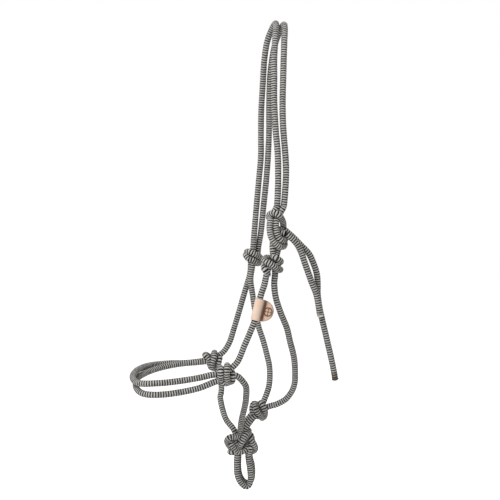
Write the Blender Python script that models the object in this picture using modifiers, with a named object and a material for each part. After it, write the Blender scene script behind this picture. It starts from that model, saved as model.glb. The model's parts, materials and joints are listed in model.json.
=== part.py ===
"""Rope halter: one 8 mm braided cord tied into crown, cheeks, doubled noseband, throat latch and lead loop,
with a leather tag folded round the near cheek.

Frame: origin on the underside of the crown bend, +Z up, the nose points along -X, the near side is -Y.
Every run of cord between two knots is one solid, and so is every knot. Lengths in millimetres below.
"""

import math

import bmesh
import bpy
from mathutils import Matrix, Vector

MM = 0.001
ROPE = 8.0  # cord diameter
HAIR = 0.4  # gap left between a run and the knot it enters
FREE = 1.6  # the same gap where the run swings at that knot
COARSE = 17.0  # longest spacing of points along a run
BEND = 11.0  # degrees a run may turn between two points
SKIN = 0.85  # grid used to melt the turns of a knot into one body
TAG_WALL = 1.4
TAG_SLACK = 0.7  # room between the cord and the sleeve
TAG_SLEEVE = 27.0
TAG_FLAP = 15.1  # reach of the half round flap beyond the sleeve
TAG_LAP = 0.2  # how far the flap starts inside the sleeve's wall
SLIT = 6.0  # degrees either side of the flap where the sleeve's inner face closes
SEAM = 7.9  # distance of the seam from the cord's middle line
SEAM_LENGTH = 19.2
THREAD = 0.8
THREAD_LIFT = 0.55  # height of the thread's middle over the leather

# Middle line of each run, from the middle of one knot to the middle of the next.
RUNS = {
    "crown_strand_front": [
        (-24, 48.5, -299.6), (-23.2, 48, -286.6), (-21.5, 48.6, -266.6), (-18.5, 49, -232.6),
        (-15.8, 47, -197.6), (-13.8, 43.6, -165.6), (-14.6, 40, -132.6), (-15.7, 34, -102.6),
        (-15.5, 26, -63.6), (-15.4, 20, -39.6), (-13, 15, -17.6), (-8.5, 8, -1.6), (-6, 0, 4),
        (-7.5, -8, -1.8), (-10.5, -15, -17.6), (-13.5, -21, -44.6), (-14.8, -26, -68.6),
        (-16.4, -32, -97.6), (-16.5, -39, -130.6), (-14.6, -43, -163.6), (-15.2, -47, -196.6),
        (-16.4, -48.5, -227.6), (-17, -49, -239.6),
    ],
    "crown_strand_rear": [
        (-16, 52, -299.6), (-14.8, 52, -286.6), (-11.5, 51, -265.6), (-8.6, 49, -232.6),
        (-5.4, 47, -197.6), (-4, 43, -164.6), (-3.7, 39, -130.6), (-5.5, 32, -93.6), (-6, 24, -55.6),
        (-2.5, 17, -22.6), (3, 8, -2.4), (5, 0, 3), (4, -8, -3.2), (1.5, -15, -18.2), (-1, -21, -44.6),
        (-3, -26, -68.6), (-5.4, -32, -97.6), (-6.4, -38, -127.6), (-4.5, -44, -170.6),
        (-5.2, -47, -196.6), (-8, -48.5, -226.6), (-10.6, -46, -239.6),
    ],
    "long_tail": [
        (-9, -51, -256.6), (3, -50, -266.6), (14, -50, -277.4), (24.5, -50, -288.2), (30.4, -50, -299.9),
        (34.9, -50, -312.6), (36.5, -50, -325.6), (36.5, -50.5, -339.6), (38.5, -51, -355.6),
        (41.6, -52, -370.6), (48.4, -52, -397.6), (55.5, -52, -426.6), (59.2, -52, -444.6),
        (60.5, -52, -453.1),
    ],
    "short_tail": [
        (-7, -58, -261.6), (4.8, -59.5, -273.6), (11.3, -59.5, -285), (15.8, -59.5, -297.6),
        (21.1, -59.5, -311.8), (26, -59.5, -325.1), (31.4, -60, -338.6), (34.6, -60.5, -354.6),
        (36.8, -60.5, -368.6),
    ],
    "near_cheek_strand": [
        (-27.4, -51, -302.6), (-30.8, -51, -312.1), (-33.6, -50, -326.1), (-38.6, -50, -341.1),
        (-45.8, -50, -370), (-50.6, -50, -382.6), (-59, -50, -401.6), (-67.3, -50, -420.6),
        (-75.1, -50, -429.2), (-81, -50, -434.6),
    ],
    "off_cheek_strand": [
        (-25, 54.5, -301.6), (-25, 54.5, -310.6), (-26.6, 54, -325.6), (-34.5, 52, -349.6),
        (-42.2, 50, -373.6), (-49.6, 50, -397.6), (-55.6, 50, -415.6), (-63, 50, -427.6),
        (-70.5, 50, -433.6), (-79, 50, -437.6),
    ],
    "near_throat_strand": [
        (-19.6, -47, -302.6), (-18.7, -46.5, -312.6), (-19.8, -46.5, -326.6), (-17.3, -45.5, -344),
        (-10.2, -43, -363.6), (-1, -40, -384.3), (4.4, -36, -402.6), (10.6, -31, -421.6),
        (14.1, -26, -440), (15, -20, -464), (7.5, -14, -481.3), (-4.2, -9, -490.1), (-16.2, -4, -494.6),
        (-26, -1, -499.6),
    ],
    "off_throat_strand": [
        (-23, 46, -301.6), (-25, 45.6, -312.6), (-27.8, 44.5, -330.6), (-25.6, 43, -349.6),
        (-22.2, 41, -373.2), (-18, 38, -395.1), (-13, 34, -412.6), (-8.6, 29.5, -432.6),
        (-6.4, 24, -449.6), (-9.6, 15, -470.6), (-19, 6, -488.6), (-26, 2, -499.6),
    ],
    "noseband_upper_strand": [
        (-86, -50, -436.6), (-101, -50, -437.2), (-116, -50, -439.8), (-135.5, -50, -442.1),
        (-156.5, -50, -443.6), (-175.5, -47, -444.6), (-186, -40.5, -445.6), (-191.5, -33, -446.1),
        (-195, -24.5, -444.6), (-195.5, -15, -442.1), (-193, -5, -440.6), (-187.5, 8.5, -439.6),
        (-179.5, 23, -439.6), (-169, 36.5, -440.1), (-154.5, 48, -441.1), (-137.5, 52, -441.6),
        (-115.5, 54, -442.6), (-97, 53.5, -441.3), (-83, 53, -439.6),
    ],
    "noseband_lower_strand": [
        (-86, -51, -443.6), (-97, -50.5, -446), (-116.5, -50.5, -452.6), (-135.5, -50.5, -456.1),
        (-156.5, -50.5, -458.1), (-172.5, -48.5, -458.6), (-182.5, -43, -458.6), (-188, -37, -457.6),
        (-191, -29.5, -456.1), (-192, -20, -454.1), (-191, -10, -451.6), (-189, -1, -449.6),
        (-186, 6, -448.1), (-180.5, 14, -447.1), (-172.5, 23.5, -446.1), (-160.5, 32.5, -444.6),
        (-146, 39.5, -443.1), (-125, 44.5, -441.6), (-98, 45, -440.6), (-83, 46, -439.6),
    ],
    "near_chin_strand": [
        (-80, -50, -439.6), (-69.3, -50, -440.2), (-60, -48, -449.6), (-55.5, -44, -458.1),
        (-53.7, -35, -474.2), (-53.6, -29, -484.6), (-55, -17, -505.6), (-54.5, -8, -521.6),
        (-53, -4, -532.6),
    ],
    "off_chin_strand": [
        (-80, 50, -440.6), (-73.5, 49.5, -454.6), (-68.9, 45, -472.6), (-69.6, 40.5, -481.6),
        (-71.8, 36, -491.1), (-68.6, 20, -512.6), (-60.5, 8, -524.6), (-56, 4, -534.6),
    ],
    "jaw_link_near": [(-28, -4.3, -500.6), (-36, -4.4, -507.6), (-47.5, -4.4, -522.6), (-51, -4, -532.6)],
    "jaw_link_off": [(-28, 4.3, -500.6), (-37, 4.4, -506.6), (-48.5, 4.4, -521.6), (-51, 4, -532.6)],
    "lead_loop_front": [
        (-57.2, -4.4, -549.6), (-58.5, -4.4, -561.6), (-58.7, -4.4, -574.6), (-57.6, -4.4, -584.6),
        (-53.6, -4.4, -593.8), (-46.4, -4.4, -600.2), (-41.2, -4.4, -597), (-40, -4.4, -587.6),
        (-41.1, -4.4, -574.6), (-42.9, -4.4, -562.6), (-43.4, -4.4, -549.6),
    ],
    "lead_loop_rear": [
        (-53.8, 4.4, -549.6), (-54.3, 4.4, -561.6), (-54.5, 4.4, -574.6), (-53.3, 4.4, -584.6),
        (-48.9, 4.4, -594.1), (-41.8, 4.4, -598.8), (-36.8, 4.4, -595), (-35.2, 4.4, -585.6),
        (-35.8, 4.4, -574.6), (-38.8, 4.4, -562.6), (-41, 4.4, -549.6),
    ],
}

# Length at each end of a run that belongs to the knot there, and the gap left before the run starts.
ENDS = {
    "crown_strand_front": ((17, HAIR), (16, HAIR)),
    "crown_strand_rear": ((17, HAIR), (16, HAIR)),
    "long_tail": ((15, FREE), (0, 0)),
    "short_tail": ((15, FREE), (0, 0)),
    "near_cheek_strand": ((18, FREE), (14, HAIR)),
    "off_cheek_strand": ((18, FREE), (15, HAIR)),
    "near_throat_strand": ((18, FREE), (15, HAIR)),
    "off_throat_strand": ((18, FREE), (16, HAIR)),
    "noseband_upper_strand": ((20.5, 3.1), (19, FREE)),
    "noseband_lower_strand": ((19, FREE), (19, FREE)),
    "near_chin_strand": ((14, HAIR), (18, HAIR)),
    "off_chin_strand": ((18, HAIR), (18, HAIR)),
    "jaw_link_near": ((16, HAIR), (15, HAIR)),
    "jaw_link_off": ((16, HAIR), (14, HAIR)),
    "lead_loop_front": ((14, 4.5), (14, 4.5)),
    "lead_loop_rear": ((15.5, 6), (14, 4.5)),
}

# Joint pivots: each moving piece has its origin on its own.
PIVOTS = {
    (-22.5, 0, -300.6): ("near_cheek_strand", "off_cheek_strand", "near_throat_strand", "off_throat_strand",
                       "near_nose_knot", "off_nose_knot", "jaw_knot", "jaw_link_near", "jaw_link_off",
                       "near_chin_strand", "off_chin_strand", "fiador_knot"),
    (-81.5, 0, -439.1): ("noseband_upper_strand", "noseband_lower_strand"),
    (-48, 0, -550.6): ("lead_loop_front", "lead_loop_rear"),
    (-9, -51, -256.6): ("long_tail", "long_tail_tip"),
    (-7, -58, -261.6): ("short_tail", "short_tail_tip"),
    (-42.6, -50, -357.1): ("tag_leather", "tag_stitching"),
}

SEALED = ("long_tail", "short_tail")
TIP = 3.2  # length of cord melted at a free end

# Middle lines of the turns of each knot.
KNOTS = {
    "near_throat_knot": [
        [(-22, -48.5, -290.6), (-21.5, -53.5, -291.6), (-18.5, -55.5, -293.1), (-13.5, -52.5, -296.6),
         (-13, -46, -298.6), (-20.5, -42.5, -295.6), (-29, -45.5, -292.6), (-34, -51, -295.1),
         (-33, -55.5, -296.6), (-29, -58, -298.6), (-23.5, -58.5, -302.1), (-17, -55.5, -306.6),
         (-13, -50, -307.6), (-15.5, -43.5, -306.1), (-23, -42.5, -303.6), (-31, -45.5, -302.6),
         (-34, -49.5, -304.6), (-33, -52.5, -307.6), (-30, -51.5, -312.1), (-29.5, -50.5, -315.6)],
        [(-17, -47, -292.1), (-16.5, -51, -298.6), (-16.5, -49.5, -306.1), (-20.5, -48, -308.1)],
    ],
    "off_throat_knot": [
        [(-16, 55, -297.1), (-22.5, 57.5, -294.6), (-29.5, 54.5, -293.6), (-31.5, 49.5, -293.6),
         (-29, 44.5, -293.1), (-24, 42.5, -295.6), (-18, 44, -298.6), (-13, 49, -301.6),
         (-14.5, 55.5, -304.1), (-23, 57.5, -302.6), (-31, 53.5, -299.6), (-33.5, 48, -298.1),
         (-31, 44, -302.1), (-26, 42.5, -304.1), (-20, 44, -307.1), (-15, 49, -309.1), (-17, 55, -309.6),
         (-22.5, 54, -307.1), (-24.5, 50, -303.6)],
    ],
    "near_nose_knot": [
        [(-88, -48, -437.1), (-90, -48, -430.6), (-90.5, -52, -428.6), (-91.5, -57, -431.1),
         (-91.5, -57.5, -437.6), (-90, -53, -443.6), (-87, -45, -441.6), (-82.5, -42.5, -434.1),
         (-81, -46.5, -428.1), (-82, -52, -426.1), (-83.5, -57.5, -429.6), (-84, -58.5, -436.6),
         (-83, -56.5, -444.1), (-80, -51.5, -447.6), (-77, -44.5, -445.6), (-75.5, -43, -439.1),
         (-75, -47.5, -435.6), (-75.5, -52.5, -438.6), (-75.5, -53, -444.1), (-76.5, -49.5, -447.1),
         (-79, -47, -443.1)],
        [(-91.5, -50.5, -440.1), (-89, -53.5, -444.6), (-84.5, -52.5, -448.1), (-79, -49, -448.1)],
    ],
    "off_nose_knot": [
        [(-78.5, 52, -441.6), (-83.5, 54, -435.6), (-89, 51, -432.1), (-90, 46, -432.6),
         (-86.5, 43.5, -437.6), (-84.5, 44, -444.6), (-82, 48.5, -449.1), (-80, 55.5, -446.6),
         (-77.5, 57, -437.1), (-76.5, 53, -430.6), (-77.5, 47, -430.1), (-79, 42.5, -434.6),
         (-81.5, 42, -441.6), (-81.5, 45, -448.1), (-78, 52, -450.6), (-72.5, 56.5, -443.6),
         (-70, 52.5, -436.6), (-70.5, 46.5, -437.1), (-72, 44.5, -441.6), (-73.5, 47.5, -447.1),
         (-76, 52, -445.6)],
    ],
    "jaw_knot": [
        [(-28, 2, -498.6), (-29, 4.5, -494.1), (-34, 0.5, -490.6), (-37, -3, -492.6), (-37.5, -4, -498.6),
         (-34, -2, -504.6), (-27, 3.5, -508.6), (-23.5, 7.5, -503.1), (-27.5, 5, -494.6),
         (-33.5, -1.5, -490.1), (-34, -7, -493.1), (-32.5, -9, -497.6), (-28.5, -8, -503.6),
         (-24, -2.5, -509.6), (-20, 4.5, -508.6), (-19, 7, -500.1), (-22.5, 3.5, -492.1),
         (-25.5, -2, -489.6), (-24.5, -6, -491.1), (-22.5, -7.5, -496.1), (-20.5, -5.5, -502.6),
         (-21, -0.5, -509.1), (-24.5, 3, -507.6), (-27.5, 2.5, -502.6)],
        [(-30.5, -1, -490.6), (-26.5, 0, -498.1), (-27, 1, -506.6)],
    ],
    "fiador_knot": [
        [(-47, -2, -532.1), (-55, -7, -531.6), (-63, -9.5, -530.1), (-69.5, -9, -531.1),
         (-72, -5.5, -536.1), (-70, -2.5, -541.6), (-65.5, 0, -547.6), (-61, 1.5, -551.6),
         (-54, 3, -553.6)],
        [(-56, 5.5, -552.1), (-62.5, 4.5, -554.1), (-66.5, 0, -553.1), (-64, -4, -552.6),
         (-57.5, -4.5, -550.6)],
        [(-62.5, 1, -533.1), (-66.5, -3.5, -536.1), (-66.5, -6.5, -540.6), (-62.5, -8, -546.1),
         (-57, -8.5, -550.6), (-51.5, -8.5, -551.1), (-47, -7, -548.1), (-45, -3, -544.6),
         (-45, 1, -540.1)],
        [(-40.5, 1.5, -526.1), (-43.5, -4, -526.1), (-47.5, -9.5, -528.6), (-51, -11.5, -533.1),
         (-53.5, -11.5, -537.6), (-55, -9, -542.1), (-55, -4, -547.6), (-52.5, 1, -552.1)],
        [(-43.5, -1.5, -535.1), (-41, -5, -535.6), (-38, -7, -539.6), (-35, -6.5, -545.1),
         (-33.5, -3.5, -550.6), (-36, 1, -555.1), (-42, 5, -554.6)],
        [(-48, 5, -531.6), (-43, 3.5, -530.1), (-39, 1, -532.1), (-37, 1, -536.1), (-38, 3, -541.6),
         (-43, 4, -545.6)],
        [(-39.5, -3, -543.6), (-41.5, -6.5, -547.1), (-42, -7, -551.6), (-43, -5.5, -557.6)],
        [(-64.5, 4, -537.1), (-54.5, 7, -534.1), (-44.5, 8, -533.6), (-36.5, 7, -538.6),
         (-34.5, 6, -546.6), (-40.5, 8, -553.6), (-51, 9, -554.6), (-61, 7, -547.6), (-64.5, 5, -540.1)],
        [(-49, 0, -530.1), (-44.5, 0, -537.1), (-43.5, 1, -544.6), (-46, 1, -552.6)],
        [(-61.5, -2.5, -536.1), (-58.5, -4.5, -541.1), (-54, -5, -545.1)],
        [(-63.5, 3, -539.6), (-53, 2, -543.6), (-44.5, 3, -545.6), (-36.5, 2, -546.6)],
        [(-44.5, 9, -536.1), (-48.5, 9.5, -546.6), (-50, 8, -557.1)],
    ],
    "tie_knot": [
        [(-22, -50, -290.1), (-23, -50, -280.1), (-21, -45, -270.6), (-18.5, -41, -260.6),
         (-20.5, -40.5, -250.6), (-24.5, -42.5, -244.1), (-27, -47, -240.6), (-27, -53, -237.6),
         (-23.5, -58, -236.1), (-18.5, -60, -238.1), (-14, -57.5, -242.6), (-10, -52.5, -249.1),
         (-8.5, -46.5, -256.6), (-11, -44, -268.1), (-14.5, -47, -279.1), (-18, -50, -290.1)],
        [(-17, -49, -227.6), (-20.5, -49, -234.6), (-25.5, -51.5, -241.1), (-28, -56, -247.1),
         (-29, -58.5, -255.6), (-28, -59.5, -264.1), (-24, -60, -271.6), (-16.5, -58.5, -277.6),
         (-9, -53, -277.6), (-7.5, -46, -272.1), (-14.5, -40, -266.1), (-24, -43, -260.6),
         (-23.5, -49, -256.6), (-16.5, -51, -257.1), (-9.5, -52, -257.1)],
        [(-8, -49, -227.6), (-12, -49.5, -234.6), (-17, -52.5, -241.1), (-20.5, -57, -247.1),
         (-21, -59.5, -255.6), (-19.5, -60.5, -263.1), (-15, -60, -269.1), (-8.5, -54.5, -270.1),
         (-6.5, -46.5, -265.6), (-12, -40, -261.1), (-21, -42.5, -254.1), (-20, -50, -256.6),
         (-15, -55, -260.1), (-8.5, -57.5, -261.6)],
    ],
}

# Runs whose start, and whose end, lies inside each knot, and the number of triangles the knot is thinned to.
STARTS = {
    "near_throat_knot": ("near_cheek_strand", "near_throat_strand"),
    "off_throat_knot": ("crown_strand_front", "crown_strand_rear", "off_cheek_strand", "off_throat_strand"),
    "near_nose_knot": ("near_chin_strand", "noseband_upper_strand", "noseband_lower_strand"),
    "off_nose_knot": ("off_chin_strand",),
    "jaw_knot": ("jaw_link_near", "jaw_link_off"),
    "fiador_knot": ("lead_loop_front", "lead_loop_rear"),
    "tie_knot": ("long_tail", "short_tail"),
}
STOPS = {
    "near_throat_knot": (),
    "off_throat_knot": (),
    "near_nose_knot": ("near_cheek_strand",),
    "off_nose_knot": ("off_cheek_strand", "noseband_upper_strand", "noseband_lower_strand"),
    "jaw_knot": ("near_throat_strand", "off_throat_strand"),
    "fiador_knot": ("near_chin_strand", "off_chin_strand", "jaw_link_near", "jaw_link_off", "lead_loop_front",
                    "lead_loop_rear"),
    "tie_knot": ("crown_strand_front", "crown_strand_rear"),
}
TRIANGLES = {"near_throat_knot": 900, "off_throat_knot": 760, "near_nose_knot": 820, "off_nose_knot": 820,
             "jaw_knot": 760, "fiador_knot": 1400, "tie_knot": 1600}
NECK = -282.6  # height where the tie's bight ends and its two legs belong to the throat knot below


def smooth(points, step):
    """Points at an even spacing along a soft curve through the route points, millimetres."""
    p = [Vector(q) for q in points]
    p = [p[0] * 2 - p[1]] + p + [p[-1] * 2 - p[-2]]
    dense = []
    for a, b, c, d in zip(p, p[1:], p[2:], p[3:]):
        for k in range(24):
            t = k / 24
            dense.append(0.5 * (2 * b + (c - a) * t + (2 * a - 5 * b + 4 * c - d) * t * t
                                + (3 * b - a - 3 * c + d) * t ** 3))
    dense.append(p[-2])
    run = [0.0]
    for a, b in zip(dense, dense[1:]):
        run.append(run[-1] + (b - a).length)
    count = max(2, round(run[-1] / step) + 1)
    out, j = [], 0
    for i in range(count):
        s = run[-1] * i / (count - 1)
        while j < len(run) - 2 and run[j + 1] < s:
            j += 1
        span = run[j + 1] - run[j]
        out.append(dense[j].lerp(dense[j + 1], (s - run[j]) / span if span else 0.0))
    return out


def thinned(line):
    """Keeps points of a dense line where it turns, and at least one every COARSE."""
    out, run, last = [line[0]], 0.0, (line[1] - line[0]).normalized()
    for a, b in zip(line, line[1:]):
        run += (b - a).length
        way = (b - a).normalized()
        turn = math.degrees(last.angle(way)) if last.length and way.length else 0.0
        if run >= COARSE or (turn > BEND and run > 2.5):
            out.append(b)
            run, last = 0.0, way
    if (out[-1] - line[-1]).length < 2.0 and len(out) > 2:
        out.pop()
    return out + [line[-1]]


def portion(points, start, end):
    """The part of a route between two arc lengths; end counts back from the far end."""
    line = smooth(points, 1.0)
    run = [0.0]
    for a, b in zip(line, line[1:]):
        run.append(run[-1] + (b - a).length)
    return [q for q, s in zip(line, run) if start <= s <= run[-1] - end]


def stub(name, far):
    """The end of a run that lies inside a knot."""
    length, gap = ENDS[name][1 if far else 0]
    line = smooth(RUNS[name], 1.0)
    if far:
        line = line[::-1]
    run = 0.0
    out = [line[0]]
    for a, b in zip(line, line[1:]):
        run += (b - a).length
        if run > length - gap:
            break
        out.append(b)
    return out


def collection():
    c = bpy.data.collections.new("rope_halter")
    bpy.context.scene.collection.children.link(c)
    return c


def material(name, colour, rough):
    m = bpy.data.materials.new(name)
    m.use_nodes = True
    b = m.node_tree.nodes["Principled BSDF"]
    b.inputs["Base Color"].default_value = (*colour, 1)
    b.inputs["Roughness"].default_value = rough
    return m


def cord_curve(name, points, diameter, sides=2):
    data = bpy.data.curves.new(name, "CURVE")
    data.dimensions = "3D"
    data.bevel_depth = diameter / 2 * MM
    data.bevel_resolution = sides
    data.use_fill_caps = True
    line = data.splines.new("POLY")
    line.points.add(len(points) - 1)
    for slot, p in zip(line.points, points):
        slot.co = (*(Vector(p) * MM), 1)
    return bpy.data.objects.new(name, data)


def evaluated(source):
    """Mesh of an object with its modifiers applied; the object itself is then dropped."""
    bpy.context.scene.collection.objects.link(source)
    bpy.context.view_layer.update()
    graph = bpy.context.evaluated_depsgraph_get()
    mesh = bpy.data.meshes.new_from_object(source.evaluated_get(graph), depsgraph=graph)
    bpy.data.objects.remove(source, do_unlink=True)
    return mesh


def largest_island(mesh):
    """Drops every closed shell but the biggest, so the body holds no hidden pocket."""
    bm = bmesh.new()
    bm.from_mesh(mesh)
    left, best = set(bm.verts), []
    while left:
        seed = left.pop()
        group, todo = [seed], [seed]
        while todo:
            for e in todo.pop().link_edges:
                for v in e.verts:
                    if v in left:
                        left.remove(v)
                        group.append(v)
                        todo.append(v)
        if len(group) > len(best):
            best = group
    keep = set(best)
    bmesh.ops.delete(bm, geom=[v for v in bm.verts if v not in keep], context="VERTS")
    bm.to_mesh(mesh)
    bm.free()
    return mesh


def melted(name, lines, faces):
    """One closed body from several turns of cord."""
    bm = bmesh.new()
    for i, line in enumerate(lines):
        mesh = evaluated(cord_curve(f"{name}_turn{i}", line, ROPE, 4))
        bm.from_mesh(mesh)
    whole = bpy.data.meshes.new(name)
    bm.to_mesh(whole)
    bm.free()
    blank = bpy.data.objects.new(name + "_blank", whole)
    skin = blank.modifiers.new("skin", "REMESH")
    skin.mode = "VOXEL"
    skin.voxel_size = SKIN * MM
    solid = largest_island(evaluated(blank))
    rough = bpy.data.objects.new(name + "_rough", solid)
    thin = rough.modifiers.new("thin", "DECIMATE")
    thin.ratio = faces / (2 * max(1, len(solid.polygons)))
    return bpy.data.objects.new(name, evaluated(rough))


def bight():
    """The tie's bight above the neck, and its two legs below it."""
    line = smooth(KNOTS["tie_knot"][0], 2.0)
    half = len(line) // 2
    low = NECK - HAIR * 3
    legs = [[p for p in line[:half] if p.z < low], [p for p in line[half:] if p.z < low]]
    return [p for p in line if p.z > NECK + HAIR * 3], legs


def knots():
    """Every knot body, built from its turns and the ends of the runs that enter it."""
    loop, legs = bight()
    for name, turns in KNOTS.items():
        lines = [smooth(t, 2.0) for t in turns]
        if name == "tie_knot":
            lines[0] = loop
        if name == "near_throat_knot":
            lines += legs
        lines += [stub(run, False) for run in STARTS[name]] + [stub(run, True) for run in STOPS[name]]
        yield name, lines, TRIANGLES[name]


def tag_frame():
    """Middle of the tag on the near cheek, the direction down the cord, and the side the flap points to."""
    top, low = Vector((-39, -50, -342.6)), Vector((-46.2, -50, -371.6))
    down = (low - top).normalized()
    side = Vector((1, -0.18, 0))
    side = (side - down * side.dot(down)).normalized()
    return (top + low) / 2, down, side


def prism(name, outline, origin, u, v, w, depth):
    """Extrudes an outline given in (u, v) by depth along w."""
    bm = bmesh.new()
    low = [bm.verts.new((origin + u * a + v * b - w * (depth / 2)) * MM) for a, b in outline]
    high = [bm.verts.new((origin + u * a + v * b + w * (depth / 2)) * MM) for a, b in outline]
    bm.faces.new(low)
    bm.faces.new(high[::-1])
    n = len(outline)
    for i in range(n):
        j = (i + 1) % n
        bm.faces.new((low[i], high[i], high[j], low[j]))
    bmesh.ops.recalc_face_normals(bm, faces=bm.faces[:])
    mesh = bpy.data.meshes.new(name)
    bm.to_mesh(mesh)
    bm.free()
    return bpy.data.objects.new(name, mesh)


def joined(name, first, second):
    mod = first.modifiers.new("join", "BOOLEAN")
    mod.solver = "EXACT"
    mod.operation = "UNION"
    mod.object = second
    bpy.context.scene.collection.objects.link(second)
    mesh = evaluated(first)
    bpy.data.objects.remove(second, do_unlink=True)
    return bpy.data.objects.new(name, mesh)


def tag_leather():
    """One strip of leather folded round the cord: a sleeve, and a half round flap of two layers."""
    middle, down, side = tag_frame()
    face = down.cross(side).normalized()
    inner, outer = ROPE / 2 + TAG_SLACK, ROPE / 2 + TAG_SLACK + TAG_WALL
    wall = []
    reach = math.degrees(math.asin(TAG_WALL / outer))
    for k in range(17):
        a = math.radians(reach + (360 - 2 * reach) * k / 16)
        wall.append((outer * math.cos(a), outer * math.sin(a)))
    for k in range(17):
        a = math.radians(min(360 - SLIT, max(SLIT, 360 * (16 - k) / 16)))
        wall.append((inner * math.cos(a), inner * math.sin(a)))
    sleeve = prism("sleeve", wall, middle, side, face, down, TAG_SLEEVE)
    half = TAG_SLEEVE / 2
    outline = [(inner + TAG_LAP, -half)]
    for k in range(13):
        a = math.radians(-90 + 180 * k / 12)
        outline.append((outer + TAG_FLAP * math.cos(a), half * math.sin(a)))
    outline.append((inner + TAG_LAP, half))
    flap = prism("flap", outline, middle, side, down, face, 2 * TAG_WALL)
    return joined("tag_leather", sleeve, flap)


def tag_stitching():
    """The waxed thread seam lying along the fold, standing proud of the leather on the outer side."""
    middle, down, side = tag_frame()
    face = down.cross(side).normalized()
    if face.y > 0:
        face = -face
    line = []
    for k in range(9):
        along = down * SEAM_LENGTH * (k / 8 - 0.5)
        line.append(middle + side * SEAM + along + face * (TAG_WALL + THREAD_LIFT))
    return cord_curve("tag_stitching", line, THREAD, 1)


def runs():
    for name, route in RUNS.items():
        start, end = ENDS[name][0][0], ENDS[name][1][0]
        line = portion(route, start, end)
        if name in SEALED:
            yield name, portion(route, start, TIP + HAIR)
            yield name + "_tip", portion(route, route_length(route) - TIP, 0)
        else:
            yield name, line


def route_length(route):
    line = smooth(route, 1.0)
    return sum((b - a).length for a, b in zip(line, line[1:]))


def hang_on_pivot(piece):
    """Moves the piece's origin onto its joint without moving its shape."""
    for pivot, names in PIVOTS.items():
        if piece.name in names:
            piece.data.transform(Matrix.Translation(Vector(pivot) * -MM))
            piece.location = Vector(pivot) * MM


def build():
    for o in list(bpy.data.objects):
        bpy.data.objects.remove(o, do_unlink=True)
    home = collection()
    made = []
    for name, line in runs():
        made.append(cord_curve(name, thinned(line), ROPE))
    for name, lines, faces in knots():
        made.append(melted(name, lines, faces))
    made += [tag_leather(), tag_stitching()]
    for o in made:
        leather = o.name.startswith("tag_leather")
        thread = o.name == "tag_stitching"
        colour = (0.62, 0.42, 0.28) if leather else (0.16, 0.10, 0.06) if thread else (0.2, 0.2, 0.19)
        o.data.materials.clear()
        o.data.materials.append(material(o.name + "_mat", colour, 0.7))
        hang_on_pivot(o)
        home.objects.link(o)


build()
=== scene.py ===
"""Looks of the rope halter: braided cord, knots, leather tag, melted ends, studio and camera."""

import json
import math

import bpy
import numpy as np
from mathutils import Matrix, Vector


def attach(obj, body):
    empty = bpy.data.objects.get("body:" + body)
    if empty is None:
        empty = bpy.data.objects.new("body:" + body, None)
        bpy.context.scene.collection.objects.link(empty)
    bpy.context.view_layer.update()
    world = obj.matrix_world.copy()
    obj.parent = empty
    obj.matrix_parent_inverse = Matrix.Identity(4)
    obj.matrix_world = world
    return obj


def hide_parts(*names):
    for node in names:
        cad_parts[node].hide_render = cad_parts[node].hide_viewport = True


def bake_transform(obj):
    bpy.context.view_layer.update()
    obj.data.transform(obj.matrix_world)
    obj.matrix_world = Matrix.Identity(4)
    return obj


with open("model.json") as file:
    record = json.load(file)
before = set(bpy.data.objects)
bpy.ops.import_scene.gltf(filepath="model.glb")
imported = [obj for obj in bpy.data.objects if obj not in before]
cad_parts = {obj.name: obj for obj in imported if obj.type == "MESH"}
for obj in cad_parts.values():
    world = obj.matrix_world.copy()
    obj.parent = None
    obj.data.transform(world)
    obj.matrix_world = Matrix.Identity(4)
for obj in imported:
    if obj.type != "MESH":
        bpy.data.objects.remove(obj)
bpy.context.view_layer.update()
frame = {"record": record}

MM = 0.001
ROPE = 8.0  # cord diameter, mm
CREST = 8.3  # the same over the crests of the yarns
RING = 1.54  # one ring of the braid along the cord
KNOT_RING = 1.36  # the same where the cord is packed into a knot
ROWS = 4  # mesh rows in a ring
PICKS = 8  # yarns seen round the cord
SIDES = 24  # mesh columns round the cord
ZIG = 0.35  # how far a ring zigzags along the cord
YARN = 0.45  # how far a yarn stands out of the grooves
BLACK = 0.035  # how much of a pair of rings the black one gains from the white
LAY = 420.0  # cord length in which the braid turns once
SINGED = 9.0  # cord browned by heat at a free end
TIP = 3.2  # cord melted solid at a free end
ROUND = 32  # mesh columns round a melted tip
UNEVEN = 0.03  # spread of the yarns' height
CLOSING = 1.1  # cord length over which an end closes

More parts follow.
